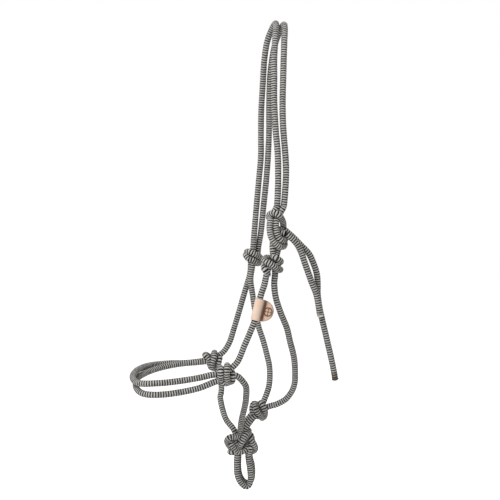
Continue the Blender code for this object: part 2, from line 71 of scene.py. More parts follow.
# Middle line of each run of cord between two knots, mm.
RUNS = {
    "crown_strand_front": [
        (-24, 48.5, -299.6), (-23.2, 48, -286.6), (-21.5, 48.6, -266.6), (-18.5, 49, -232.6),
        (-15.8, 47, -197.6), (-13.8, 43.6, -165.6), (-14.6, 40, -132.6), (-15.7, 34, -102.6),
        (-15.5, 26, -63.6), (-15.4, 20, -39.6), (-13, 15, -17.6), (-8.5, 8, -1.6), (-6, 0, 4),
        (-7.5, -8, -1.8), (-10.5, -15, -17.6), (-13.5, -21, -44.6), (-14.8, -26, -68.6),
        (-16.4, -32, -97.6), (-16.5, -39, -130.6), (-14.6, -43, -163.6), (-15.2, -47, -196.6),
        (-16.6, -48.6, -223.6), (-17.8, -49, -230), (-20.6, -49.2, -235),
    ],
    "crown_strand_rear": [
        (-16, 52, -299.6), (-14.8, 52, -286.6), (-11.5, 51, -265.6), (-8.6, 49, -232.6),
        (-5.4, 47, -197.6), (-4, 43, -164.6), (-3.7, 39, -130.6), (-5.5, 32, -93.6), (-6, 24, -55.6),
        (-2.5, 17, -22.6), (3, 8, -2.4), (5, 0, 3), (4, -8, -3.2), (1.5, -15, -18.2), (-1, -21, -44.6),
        (-3, -26, -68.6), (-5.4, -32, -97.6), (-6.4, -38, -127.6), (-4.5, -44, -170.6),
        (-5.2, -47, -196.6), (-7.6, -48.6, -223), (-9.2, -49.1, -229.8), (-12.2, -49.7, -235),
    ],
    "long_tail": [
        (-9, -51, -256.6), (3, -50, -266.6), (14, -50, -277.4), (24.5, -50, -288.2), (30.4, -50, -299.9),
        (34.9, -50, -312.6), (36.5, -50, -325.6), (36.5, -50.5, -339.6), (38.5, -51, -355.6),
        (41.6, -52, -370.6), (48.4, -52, -397.6), (55.5, -52, -426.6), (59.2, -52, -444.6),
        (60.5, -52, -453.1),
    ],
    "short_tail": [
        (-7, -58, -261.6), (4.8, -59.5, -273.6), (11.3, -59.5, -285), (15.8, -59.5, -297.6),
        (21.1, -59.5, -311.8), (26, -59.5, -325.1), (31.4, -60, -338.6), (34.6, -60.5, -354.6),
        (36.8, -60.5, -368.6),
    ],
    "near_cheek_strand": [
        (-27.4, -51, -302.6), (-30.8, -51, -312.1), (-33.6, -50, -326.1), (-38.6, -50, -341.1),
        (-45.8, -50, -370), (-50.6, -50, -382.6), (-59, -50, -401.6), (-67.3, -50, -420.6),
        (-75.1, -50, -429.2), (-81, -50, -434.6),
    ],
    "off_cheek_strand": [
        (-25, 54.5, -301.6), (-25, 54.5, -310.6), (-26.6, 54, -325.6), (-34.5, 52, -349.6),
        (-42.2, 50, -373.6), (-49.6, 50, -397.6), (-55.6, 50, -415.6), (-63, 50, -427.6),
        (-70.5, 50, -433.6), (-79, 50, -437.6),
    ],
    "near_throat_strand": [
        (-19.6, -47, -302.6), (-18.7, -46.5, -312.6), (-19.8, -46.5, -326.6), (-17.3, -45.5, -344),
        (-10.2, -43, -363.6), (-1, -40, -384.3), (4.4, -36, -402.6), (10.6, -31, -421.6),
        (14.1, -26, -440), (15, -20, -464), (7.5, -14, -481.3), (-4.2, -9, -490.1), (-16.2, -4, -494.6),
        (-26, -1, -499.6),
    ],
    "off_throat_strand": [
        (-23, 46, -301.6), (-25, 45.6, -312.6), (-27.8, 44.5, -330.6), (-25.6, 43, -349.6),
        (-22.2, 41, -373.2), (-18, 38, -395.1), (-13, 34, -412.6), (-8.6, 29.5, -432.6),
        (-6.4, 24, -449.6), (-9.6, 15, -470.6), (-19, 6, -488.6), (-26, 2, -499.6),
    ],
    "noseband_upper_strand": [
        (-86, -50, -436.6), (-101, -50, -437.2), (-116, -50, -439.8), (-135.5, -50, -442.1),
        (-156.5, -50, -443.6), (-175.5, -47, -444.6), (-186, -40.5, -445.6), (-191.5, -33, -446.1),
        (-195, -24.5, -444.6), (-195.5, -15, -442.1), (-193, -5, -440.6), (-187.5, 8.5, -439.6),
        (-179.5, 23, -439.6), (-169, 36.5, -440.1), (-154.5, 48, -441.1), (-137.5, 52, -441.6),
        (-115.5, 54, -442.6), (-97, 53.5, -441.3), (-83, 53, -439.6),
    ],
    "noseband_lower_strand": [
        (-86, -51, -443.6), (-97, -50.5, -446), (-116.5, -50.5, -452.6), (-135.5, -50.5, -456.1),
        (-156.5, -50.5, -458.1), (-172.5, -48.5, -458.6), (-182.5, -43, -458.6), (-188, -37, -457.6),
        (-191, -29.5, -456.1), (-192, -20, -454.1), (-191, -10, -451.6), (-189, -1, -449.6),
        (-186, 6, -448.1), (-180.5, 14, -447.1), (-172.5, 23.5, -446.1), (-160.5, 32.5, -444.6),
        (-146, 39.5, -443.1), (-125, 44.5, -441.6), (-98, 45, -440.6), (-83, 46, -439.6),
    ],
    "near_chin_strand": [
        (-80, -50, -439.6), (-69.3, -50, -440.2), (-60, -48, -449.6), (-55.5, -44, -458.1),
        (-53.7, -35, -474.2), (-53.6, -29, -484.6), (-55, -17, -505.6), (-54.5, -8, -521.6),
        (-53, -4, -532.6),
    ],
    "off_chin_strand": [
        (-80, 50, -440.6), (-73.5, 49.5, -454.6), (-68.9, 45, -472.6), (-69.6, 40.5, -481.6),
        (-71.8, 36, -491.1), (-68.6, 20, -512.6), (-60.5, 8, -524.6), (-56, 4, -534.6),
    ],
    "jaw_link_near": [(-28, -4.3, -500.6), (-36, -4.4, -507.6), (-47.5, -4.4, -522.6), (-51, -4, -532.6)],
    "jaw_link_off": [(-28, 4.3, -500.6), (-37, 4.4, -506.6), (-48.5, 4.4, -521.6), (-51, 4, -532.6)],
    "lead_loop_front": [
        (-57.2, -4.4, -549.6), (-58.5, -4.4, -561.6), (-58.7, -4.4, -574.6), (-57.6, -4.4, -584.6),
        (-53.6, -4.4, -593.8), (-46.4, -4.4, -600.2), (-41.2, -4.4, -597), (-40, -4.4, -587.6),
        (-41.1, -4.4, -574.6), (-42.9, -4.4, -562.6), (-43.4, -4.4, -549.6),
    ],
    "lead_loop_rear": [
        (-53.8, 4.4, -549.6), (-54.3, 4.4, -561.6), (-54.5, 4.4, -574.6), (-53.3, 4.4, -584.6),
        (-48.9, 4.4, -594.1), (-41.8, 4.4, -598.8), (-36.8, 4.4, -595), (-35.2, 4.4, -585.6),
        (-35.8, 4.4, -574.6), (-38.8, 4.4, -562.6), (-41, 4.4, -549.6),
    ],
}

# Middle lines of the turns of each knot, mm.
KNOTS = {
    "near_throat_knot": [
        [(-22, -48.5, -290.6), (-21.5, -53.5, -291.6), (-18.5, -55.5, -293.1), (-13.5, -52.5, -296.6),
         (-13, -46, -298.6), (-20.5, -42.5, -295.6), (-29, -45.5, -292.6), (-34, -51, -295.1),
         (-33, -55.5, -296.6), (-29, -58, -298.6), (-23.5, -58.5, -302.1), (-17, -55.5, -306.6),
         (-13, -50, -307.6), (-15.5, -43.5, -306.1), (-23, -42.5, -303.6), (-31, -45.5, -302.6),
         (-34, -49.5, -304.6), (-33, -52.5, -307.6), (-30, -51.5, -312.1), (-29.5, -50.5, -315.6)],
        [(-17, -47, -292.1), (-16.5, -51, -298.6), (-16.5, -49.5, -306.1), (-20.5, -48, -308.1)],
    ],
    "off_throat_knot": [
        [(-16, 55, -297.1), (-22.5, 57.5, -294.6), (-29.5, 54.5, -293.6), (-31.5, 49.5, -293.6),
         (-29, 44.5, -293.1), (-24, 42.5, -295.6), (-18, 44, -298.6), (-13, 49, -301.6),
         (-14.5, 55.5, -304.1), (-23, 57.5, -302.6), (-31, 53.5, -299.6), (-33.5, 48, -298.1),
         (-31, 44, -302.1), (-26, 42.5, -304.1), (-20, 44, -307.1), (-15, 49, -309.1), (-17, 55, -309.6),
         (-22.5, 54, -307.1), (-24.5, 50, -303.6)],
    ],
    "near_nose_knot": [
        [(-88, -48, -437.1), (-90, -48, -430.6), (-90.5, -52, -428.6), (-91.5, -57, -431.1),
         (-91.5, -57.5, -437.6), (-90, -53, -443.6), (-87, -45, -441.6), (-82.5, -42.5, -434.1),
         (-81, -46.5, -428.1), (-82, -52, -426.1), (-83.5, -57.5, -429.6), (-84, -58.5, -436.6),
         (-83, -56.5, -444.1), (-80, -51.5, -447.6), (-77, -44.5, -445.6), (-75.5, -43, -439.1),
         (-75, -47.5, -435.6), (-75.5, -52.5, -438.6), (-75.5, -53, -444.1), (-76.5, -49.5, -447.1),
         (-79, -47, -443.1)],
        [(-91.5, -50.5, -440.1), (-89, -53.5, -444.6), (-84.5, -52.5, -448.1), (-79, -49, -448.1)],
    ],
    "off_nose_knot": [
        [(-78.5, 52, -441.6), (-83.5, 54, -435.6), (-89, 51, -432.1), (-90, 46, -432.6),
         (-86.5, 43.5, -437.6), (-84.5, 44, -444.6), (-82, 48.5, -449.1), (-80, 55.5, -446.6),
         (-77.5, 57, -437.1), (-76.5, 53, -430.6), (-77.5, 47, -430.1), (-79, 42.5, -434.6),
         (-81.5, 42, -441.6), (-81.5, 45, -448.1), (-78, 52, -450.6), (-72.5, 56.5, -443.6),
         (-70, 52.5, -436.6), (-70.5, 46.5, -437.1), (-72, 44.5, -441.6), (-73.5, 47.5, -447.1),
         (-76, 52, -445.6)],
    ],
    "jaw_knot": [
        [(-28, 2, -498.6), (-29, 4.5, -494.1), (-34, 0.5, -490.6), (-37, -3, -492.6), (-37.5, -4, -498.6),
         (-34, -2, -504.6), (-27, 3.5, -508.6), (-23.5, 7.5, -503.1), (-27.5, 5, -494.6),
         (-33.5, -1.5, -490.1), (-34, -7, -493.1), (-32.5, -9, -497.6), (-28.5, -8, -503.6),
         (-24, -2.5, -509.6), (-20, 4.5, -508.6), (-19, 7, -500.1), (-22.5, 3.5, -492.1),
         (-25.5, -2, -489.6), (-24.5, -6, -491.1), (-22.5, -7.5, -496.1), (-20.5, -5.5, -502.6),
         (-21, -0.5, -509.1), (-24.5, 3, -507.6), (-27.5, 2.5, -502.6)],
        [(-30.5, -1, -490.6), (-26.5, 0, -498.1), (-27, 1, -506.6)],
    ],
    "fiador_knot": [
        [(-47, -2, -532.1), (-55, -7, -531.6), (-63, -9.5, -530.1), (-69.5, -9, -531.1),
         (-72, -5.5, -536.1), (-70, -2.5, -541.6), (-65.5, 0, -547.6), (-61, 1.5, -551.6),
         (-54, 3, -553.6)],
        [(-56, 5.5, -552.1), (-62.5, 4.5, -554.1), (-66.5, 0, -553.1), (-64, -4, -552.6),
         (-57.5, -4.5, -550.6)],
        [(-62.5, 1, -533.1), (-66.5, -3.5, -536.1), (-66.5, -6.5, -540.6), (-62.5, -8, -546.1),
         (-57, -8.5, -550.6), (-51.5, -8.5, -551.1), (-47, -7, -548.1), (-45, -3, -544.6),
         (-45, 1, -540.1)],
        [(-40.5, 1.5, -526.1), (-43.5, -4, -526.1), (-47.5, -9.5, -528.6), (-51, -11.5, -533.1),
         (-53.5, -11.5, -537.6), (-55, -9, -542.1), (-55, -4, -547.6), (-52.5, 1, -552.1)],
        [(-43.5, -1.5, -535.1), (-41, -5, -535.6), (-38, -7, -539.6), (-35, -6.5, -545.1),
         (-33.5, -3.5, -550.6), (-36, 1, -555.1), (-42, 5, -554.6)],
        [(-48, 5, -531.6), (-43, 3.5, -530.1), (-39, 1, -532.1), (-37, 1, -536.1), (-38, 3, -541.6),
         (-43, 4, -545.6)],
        [(-39.5, -3, -543.6), (-41.5, -6.5, -547.1), (-42, -7, -551.6), (-43, -5.5, -557.6)],
        [(-64.5, 4, -537.1), (-54.5, 7, -534.1), (-44.5, 8, -533.6), (-36.5, 7, -538.6),
         (-34.5, 6, -546.6), (-40.5, 8, -553.6), (-51, 9, -554.6), (-61, 7, -547.6), (-64.5, 5, -540.1)],
        [(-49, 0, -530.1), (-44.5, 0, -537.1), (-43.5, 1, -544.6), (-46, 1, -552.6)],
        [(-61.5, -2.5, -536.1), (-58.5, -4.5, -541.1), (-54, -5, -545.1)],
        [(-63.5, 3, -539.6), (-53, 2, -543.6), (-44.5, 3, -545.6), (-36.5, 2, -546.6)],
        [(-44.5, 9, -536.1), (-48.5, 9.5, -546.6), (-50, 8, -557.1)],
    ],
    "tie_knot": [
        [(-22, -50, -290.1), (-23, -50, -280.1), (-21, -45, -270.6), (-18.5, -41, -260.6),
         (-20.5, -40.5, -250.6), (-24.5, -42.5, -244.1), (-27, -47, -240.6), (-27, -53, -237.6),
         (-23.5, -58, -236.1), (-18.5, -60, -238.1), (-14, -57.5, -242.6), (-10, -52.5, -249.1),
         (-8.5, -46.5, -256.6), (-11, -44, -268.1), (-14.5, -47, -279.1), (-18, -50, -290.1)],
        [(-17, -49, -227.6), (-20.5, -49, -234.6), (-25.5, -51.5, -241.1), (-28, -56, -247.1),
         (-29, -58.5, -255.6), (-28, -59.5, -264.1), (-24, -60, -271.6), (-16.5, -58.5, -277.6),
         (-9, -53, -277.6), (-7.5, -46, -272.1), (-14.5, -40, -266.1), (-24, -43, -260.6),
         (-23.5, -49, -256.6), (-16.5, -51, -257.1), (-9.5, -52, -257.1)],
        [(-8, -49, -227.6), (-12, -49.5, -234.6), (-17, -52.5, -241.1), (-20.5, -57, -247.1),
         (-21, -59.5, -255.6), (-19.5, -60.5, -263.1), (-15, -60, -269.1), (-8.5, -54.5, -270.1),
         (-6.5, -46.5, -265.6), (-12, -40, -261.1), (-21, -42.5, -254.1), (-20, -50, -256.6),
         (-15, -55, -260.1), (-8.5, -57.5, -261.6)],
    ],
}

# Runs that cross a joint: the body above, the body below, and where the turn starts and ends.
CROSSING = {
    "near_cheek_strand": ("crown", "face", (-28, -50, -303.6), (-38, -50, -340.6)),
    "off_cheek_strand": ("crown", "face", (-25, 54, -303.6), (-35, 53, -352.6)),
    "near_throat_strand": ("crown", "face", (-20, -47, -303.6), (-16, -46, -352.6)),
    "off_throat_strand": ("crown", "face", (-24, 46, -303.6), (-26, 44, -352.6)),
    "noseband_upper_strand": ("face", "noseband", (-86, 0, -438.6), (-146, 0, -442.6)),
    "noseband_lower_strand": ("face", "noseband", (-86, 0, -438.6), (-146, 0, -442.6)),
    "lead_loop_front": ("face", "lead_loop", (-48, 0, -552.6), (-48, 0, -569.6)),
    "lead_loop_rear": ("face", "lead_loop", (-48, 0, -552.6), (-48, 0, -569.6)),
    "long_tail": ("crown", "long_tail", (-9, -51, -256.6), (15, -50, -276.1)),
    "short_tail": ("crown", "short_tail", (-7, -58, -261.6), (8, -59.5, -281.6)),
}
TAILS = ("long_tail", "short_tail")
BODY_OF = {n: b for b, nodes in frame["record"]["behaviour"]["bodies"].items() for n in nodes}


def smooth(points, step):
    """Evenly spaced points along a soft curve through the route points."""
    p = np.array(points, float)
    p = np.vstack([2 * p[0] - p[1], p, 2 * p[-1] - p[-2]])
    dense = []
    for a, b, c, d in zip(p, p[1:], p[2:], p[3:]):
        t = np.linspace(0, 1, 24, endpoint=False)[:, None]
        dense.append(0.5 * (2 * b + (c - a) * t + (2 * a - 5 * b + 4 * c - d) * t ** 2
                            + (3 * b - a - 3 * c + d) * t ** 3))
    dense = np.vstack(dense + [p[-2:-1]])
    return even(dense, step)


def even(line, step):
    """The same curve with its points about one step apart."""
    run = np.concatenate([[0], np.cumsum(np.linalg.norm(np.diff(line, axis=0), axis=1))])
    count = max(3, int(round(run[-1] / step)) + 1)
    at = np.linspace(0, run[-1], count)
    return np.stack([np.interp(at, run, line[:, k]) for k in range(3)], 1)


def sections(line):
    """Two unit vectors across the line at each point, carried along it without spin."""
    way = np.gradient(line, axis=0)
    way /= np.linalg.norm(way, axis=1)[:, None]
    side = np.cross(way[0], (0.31, 0.9, 0.3))
    side /= np.linalg.norm(side)
    sides = [side]
    for w in way[1:]:
        side = side - w * side.dot(w)
        side = side / np.linalg.norm(side)
        sides.append(side)
    sides = np.array(sides)
    return sides, np.cross(way, sides)


def wider_black(core, s, ring):
    """Moves every second ring border on, so that the black rings (the even ones) are wider than the white."""
    pair = (s / (2 * ring)) % 1
    moved = s + 2 * ring * BLACK * np.sin(np.pi * pair) ** 2
    moved[-1], moved[0] = s[-1], s[0]
    return np.stack([np.interp(moved[:, 0], s[:, 0], core[:, k]) for k in range(3)], 1), moved


def net(rows, columns, closed=False):
    """Faces of a tube of points, row after row; a closed one joins its last row to its first."""
    i = np.arange(rows if closed else rows - 1)[:, None]
    j = np.arange(columns)[None, :]
    k, above = (j + 1) % columns, (i + 1) % rows
    return np.stack([i * columns + j, i * columns + k, above * columns + k, above * columns + j], -1).reshape(-1, 4)


def braid_arrays(line, start=0.0, seed=0, singed=0.0, size=RING):
    """Vertices, faces, yarn slots and thread coordinates of one length of braided cord, in millimetres."""
    rng = np.random.default_rng(seed)
    length = np.linalg.norm(np.diff(line, axis=0), axis=1).sum()
    rings = max(2, int(round(length / size)))
    core = even(line, length / (rings * ROWS))[: rings * ROWS + 1]
    n = len(core)
    u, v = sections(core)
    way = np.cross(u, v)
    i = np.arange(n)[:, None]
    j = np.arange(SIDES)[None, :]
    s = i * length / (n - 1)
    core, s = wider_black(core, s, length / rings)
    turn = 2 * math.pi * (j / SIDES) + 2 * math.pi * (start + s) / LAY
    half = SIDES / PICKS
    tri = np.abs((j / half) % 2 - 1)  # 1 at a peak, 0 in a valley
    along = ZIG * (tri - 0.5)
    across = (i % ROWS) / ROWS
    crown = np.sin(np.pi * across) ** 0.6
    pick = np.abs(np.sin(np.pi * (j % half) / half)) * np.ones_like(across)
    lump = rng.normal(0, UNEVEN, (n // ROWS + 1, SIDES // 3 + 1))
    jitter = np.repeat(np.repeat(lump, ROWS, 0)[:n], 3, 1)[:, :SIDES]
    radius = CREST / 2 - YARN + YARN * crown * (0.62 + 0.38 * pick) + jitter
    radius = radius * np.sqrt(np.clip(np.minimum(s, length - s) / CLOSING, 0.0004, 1))
    p = (core[:, None, :] + along[..., None] * way[:, None, :]
         + (radius * np.cos(turn))[..., None] * u[:, None, :]
         + (radius * np.sin(turn))[..., None] * v[:, None, :])
    ring = ((i[:-1] // ROWS) + int(round(start / size))) % 2
    tone = rng.random((n // ROWS + 1, SIDES // 3 + 1))
    shade = (tone[i[:-1] // ROWS, j // 3] > 0.75).astype(int)
    slot = ring * 2 + shade
    if singed:
        brown = length - s[:-1] + rng.normal(0, 1.4, shade.shape) < singed
        slot = np.where(brown, 4 + ring, slot)
    thread = np.stack([s * 6 + 40 * seed + 0 * turn, ROPE / 2 * np.cos(turn), ROPE / 2 * np.sin(turn)], -1)
    return p.reshape(-1, 3), net(n, SIDES), slot.reshape(-1), thread.reshape(-1, 3)


def build_mesh(name, parts, materials):
    """One mesh piece from several (vertices, faces, slots) or (vertices, faces, slots, thread coordinates)."""
    verts, faces, slots, threads, base = [], [], [], [], 0
    for v, f, s, *thread in parts:
        verts.append(v)
        faces.append(f + base)
        slots.append(s)
        threads += thread
        base += len(v)
    verts, faces, slots = np.vstack(verts) * MM, np.vstack(faces), np.concatenate(slots)
    mesh = bpy.data.meshes.new(name)
    mesh.vertices.add(len(verts))
    mesh.vertices.foreach_set("co", verts.astype(np.float32).ravel())
    mesh.loops.add(faces.size)
    mesh.loops.foreach_set("vertex_index", faces.astype(np.int32).ravel())
    mesh.polygons.add(len(faces))
    mesh.polygons.foreach_set("loop_start", np.arange(0, faces.size, 4, dtype=np.int32))
    mesh.update(calc_edges=True)
    for m in materials:
        mesh.materials.append(m)
    mesh.polygons.foreach_set("material_index", slots.astype(np.int32))
    mesh.polygons.foreach_set("use_smooth", np.ones(len(faces), bool))
    if threads:
        along = mesh.attributes.new("thread", "FLOAT_VECTOR", "POINT")
        along.data.foreach_set("vector", np.vstack(threads).astype(np.float32).ravel())
    ob = bpy.data.objects.new(name, mesh)
    bpy.context.scene.collection.objects.link(ob)
    return ob


def shader(name, colour, rough, spread=0.12, scale=2600, bump=0.35, depth=0.0002, level=0.35):
    """Principled material with a fine noise in its roughness and bump; returns its nodes too."""
    m = bpy.data.materials.new(name)
    m.use_nodes = True
    nt = m.node_tree
    b = nt.nodes["Principled BSDF"]
    b.inputs["Base Color"].default_value = (*colour, 1)
    b.inputs["Specular IOR Level"].default_value = level
    geo = nt.nodes.new("ShaderNodeTexCoord")
    fine = nt.nodes.new("ShaderNodeTexNoise")
    fine.inputs["Scale"].default_value = scale
    fine.inputs["Detail"].default_value = 3
    nt.links.new(geo.outputs["Object"], fine.inputs["Vector"])
    span = nt.nodes.new("ShaderNodeMapRange")
    span.inputs["To Min"].default_value = rough - spread
    span.inputs["To Max"].default_value = rough + spread
    nt.links.new(fine.outputs["Fac"], span.inputs["Value"])
    nt.links.new(span.outputs["Result"], b.inputs["Roughness"])
    bumps = nt.nodes.new("ShaderNodeBump")
    bumps.inputs["Strength"].default_value = bump
    bumps.inputs["Distance"].default_value = depth
    nt.links.new(fine.outputs["Fac"], bumps.inputs["Height"])
    nt.links.new(bumps.outputs["Normal"], b.inputs["Normal"])
    return m, nt, b, fine


def yarn(name, colour, rough, sheen):
    """Polyester yarn, with its filaments as fine lines that run along it."""
    m, nt, b, fine = shader(name, colour, rough, scale=1.3, bump=0.6, depth=0.00012, level=0.2)
    b.inputs["Sheen Weight"].default_value = sheen
    b.inputs["Sheen Roughness"].default_value = 0.4
    lines = nt.nodes.new("ShaderNodeAttribute")
    lines.attribute_name = "thread"
    nt.links.new(lines.outputs["Vector"], fine.inputs["Vector"])
    return m


def mottled(name, colours, stops, size, rough, **more):
    """A colour that drifts between several tones."""
    m, nt, b, fine = shader(name, colours[0], rough, **more)
    drift = nt.nodes.new("ShaderNodeTexNoise")
    drift.inputs["Scale"].default_value = size
    drift.inputs["Detail"].default_value = 4
    nt.links.new(fine.inputs["Vector"].links[0].from_socket, drift.inputs["Vector"])
    ramp = nt.nodes.new("ShaderNodeValToRGB")
    while len(ramp.color_ramp.elements) < len(colours):
        ramp.color_ramp.elements.new(0.5)
    for e, c, t in zip(ramp.color_ramp.elements, colours, stops):
        e.position, e.color = t, (*c, 1)
    nt.links.new(drift.outputs["Fac"], ramp.inputs["Fac"])
    nt.links.new(ramp.outputs["Color"], b.inputs["Base Color"])
    return m, nt, b, ramp


YARNS = [
    yarn("yarn_black", (0.004, 0.004, 0.004), 0.66, 0.0), yarn("yarn_black_worn", (0.008, 0.008, 0.007), 0.7, 0.0),
    yarn("yarn_white", (0.262, 0.258, 0.244), 0.72, 0.05), yarn("yarn_white_worn", (0.20, 0.196, 0.183), 0.74, 0.05),
    yarn("yarn_black_singed", (0.012, 0.009, 0.006), 0.6, 0.0),
    yarn("yarn_white_singed", (0.13, 0.11, 0.07), 0.6, 0.0),
]
MELT_DARK = mottled("melt_dark", ((0.004, 0.003, 0.003), (0.02, 0.015, 0.010), (0.05, 0.04, 0.03)), (0.35, 0.6, 0.8),
                    420, 0.38, scale=900, bump=0.5, depth=0.0003, level=0.5)[0]
MELT_LIGHT = mottled("melt_light", ((0.02, 0.017, 0.013), (0.28, 0.26, 0.23), (0.42, 0.40, 0.36)), (0.33, 0.45, 0.7),
                     300, 0.42, scale=900, bump=0.5, depth=0.0003, level=0.5)[0]
THREAD = mottled("waxed_thread", ((0.045, 0.022, 0.012), (0.10, 0.05, 0.028)), (0.35, 0.65), 900, 0.55,
                 scale=3000)[0]


def place(ob, name):
    """Puts a piece in the place of a CAD node: it rides on that node's body, or, where its run crosses a joint, is
    left free with its transform applied.
    """
    if name in CROSSING:
        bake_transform(ob)
    else:
        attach(ob, BODY_OF[name])
    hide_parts(name)
    return ob


AZIMUTH, ELEVATION = math.radians(-14), math.radians(5)  # of the camera, seen from the halter
DISTANCE = 1.2  # camera to halter, m
VIEW = 0.65  # width of the view at the halter, m
SENSOR = 36  # mm
AIM = Vector((-0.03967, 0, -0.28655))
LIT = (-0.04, 0, -0.2976)  # point that the lights face
FLOOR = -0.75


def studio():
    """Camera at the halter's near side and a little in front of it, soft white light and a white floor."""
    scene = bpy.context.scene
    back = Vector((math.sin(AZIMUTH) * math.cos(ELEVATION), -math.cos(AZIMUTH) * math.cos(ELEVATION),
                   math.sin(ELEVATION)))
    right = Vector((math.cos(AZIMUTH), math.sin(AZIMUTH), 0))
    up = back.cross(right)
    cam = bpy.data.objects.new("camera", bpy.data.cameras.new("camera"))
    scene.collection.objects.link(cam)
    m = Matrix((right, up, back)).transposed().to_4x4()
    m.translation = AIM + back * DISTANCE
    cam.matrix_world = m
    cam.data.sensor_width = SENSOR
    cam.data.lens = SENSOR * DISTANCE / VIEW
    scene.camera = cam
    world = bpy.data.worlds.new("studio")
    world.use_nodes = True
    world.node_tree.nodes["Background"].inputs[0].default_value = (1, 1, 1, 1)
    world.node_tree.nodes["Background"].inputs[1].default_value = 1.0
    scene.world = world
    scene.view_settings.view_transform = "Standard"

    def area(name, spot, size, power):
        light = bpy.data.lights.new(name, "AREA")
        light.shape = "RECTANGLE"
        light.size, light.size_y = size
        light.energy = power
        ob = bpy.data.objects.new(name, light)
        scene.collection.objects.link(ob)
        ob.location = spot
        ob.rotation_euler = (Vector(LIT) - Vector(spot)).to_track_quat("-Z", "Y").to_euler()

    area("key", (-0.90, -0.62, 0.68), (0.5, 0.5), 27)
    area("fill", (0.3, -1.5, 0.2), (0.8, 1.0), 2)
    bpy.ops.mesh.primitive_plane_add(size=8, location=(0, 0, FLOOR))
    floor = bpy.context.object
    floor.name = "floor"
    paper = bpy.data.materials.new("paper")
    paper.use_nodes = True
    paper.node_tree.nodes["Principled BSDF"].inputs["Base Color"].default_value = (1, 1, 1, 1)
    paper.node_tree.nodes["Principled BSDF"].inputs["Roughness"].default_value = 0.9
    floor.data.materials.append(paper)


def rope_runs():
    """The runs of cord between the knots, and the two tails up to their melted tips."""
    for k, (name, route) in enumerate(RUNS.items()):
        line = smooth(route, 1.0)
        full = np.linalg.norm(np.diff(line, axis=0), axis=1).sum()
        if name in TAILS:
            line = line[: int(round((full - TIP) / full * (len(line) - 1))) + 1]
        part = braid_arrays(line, 0.0, seed=11 + k, singed=SINGED if name == "long_tail" else 0.0)
        ob = place(build_mesh(name + "_braid", [part], YARNS), name)


def melted_tip(name, melt, flare, shift):
    """The melted and pressed end of a tail: it flares a little and closes in a blunt lumpy dome.

    melt is its material, flare how far it swells in mm, and shift moves its lumps round it.
    """
    line = smooth(RUNS[name], 0.25)
    full = np.linalg.norm(np.diff(line, axis=0), axis=1).sum()
    keep = int(round((full - TIP - 0.4) / full * (len(line) - 1)))
    core = line[keep:]
    u, v = sections(core)
    n = len(core)
    t = np.linspace(0, 1, n)[:, None]
    a = 2 * np.pi * np.arange(ROUND)[None, :] / ROUND
    dome = np.sqrt(np.clip(1 - np.clip((t - 0.35) / 0.65, 0, 1) ** 2.2, 0.004, 1))
    lumps = 1 + 0.05 * np.sin(3 * a + 1.1) * np.sin(4 * t + shift) + 0.04 * np.sin(5 * a + 2.3 * t)
    r = (ROPE / 2 - 0.15 + flare * np.sin(np.pi * np.clip(t * 1.3, 0, 1))) * dome * lumps
    p = core[:, None, :] + (r * np.cos(a))[..., None] * u[:, None, :] + (r * np.sin(a))[..., None] * v[:, None, :]
    faces = net(n, ROUND)
    ob = build_mesh(name + "_tip_melt", [(p.reshape(-1, 3), faces, np.zeros(len(faces), int))], [melt])
    return place(ob, name + "_tip")


# The tag, measured in mm from its middle on the cord: u along TAG_SIDE, w along TAG_FACE and v along TAG_DOWN.
TAG_MIDDLE = Vector((-42.6, -50, -357.1))
TAG_DOWN = Vector((-7.2, 0, -28.9)).normalized()
TAG_SIDE = (Vector((1, -0.18, 0)) - TAG_DOWN * Vector((1, -0.18, 0)).dot(TAG_DOWN)).normalized()
TAG_FACE = TAG_DOWN.cross(TAG_SIDE).normalized()  # the side that faces outwards
BORE, SLEEVE = 4.55, 5.75  # inner and outer radius of the sleeve
HALF = 13.7  # half its height
REACH = 20.8  # the flap's furthest u
EASED = 1 - 0.35 / 6.1  # how far the outline draws in at the top and bottom edges
WRAP = np.linspace(28, 332, 49)  # the sleeve's way round the cord, degrees
LIP, LIP_THICK, FOLD = 5.39, 2.86, 7.2  # u and w where the sleeve meets the flap, and u where the fold ends
SHEET = 1.4  # half thickness of the flap
SEAM, SEAM_HALF = 8.6, 10.6  # u of the seam, and half its length
MARK = 13.7  # u of the pressed mark's middle
MARK_RING, MARK_LEAF, MARK_DOT = (5.1, 0.68), (3.6, 0.65), 0.8  # radius and line width, and the dot's size
STITCHES, STITCH_STEP, STITCH = 8, 2.6, 0.36  # number, spacing and thread radius


def tag_place(p):
    """Points given as (u, w, v), in the halter's own directions."""
    return (np.array(TAG_MIDDLE) + p[:, :1] * np.array(TAG_SIDE) + p[:, 1:2] * np.array(TAG_FACE)
            + p[:, 2:] * np.array(TAG_DOWN))


def mark(a, b):
    """Depth of the pressed mark at (a, b) from its middle: a ring, with four leaves in a cross inside."""
    r, t = np.hypot(a, b), np.arctan2(b, a)
    ring_line = np.exp(-((r - MARK_RING[0]) / MARK_RING[1]) ** 2)
    leaf = np.abs(np.cos(2 * t)) ** 3 * MARK_LEAF[0]
    leaves = np.exp(-((r - leaf) / MARK_LEAF[1]) ** 2) * (r > MARK_DOT)
    dot = np.exp(-((r / MARK_DOT) ** 2))
    return np.clip(ring_line + leaves + dot, 0, 1)


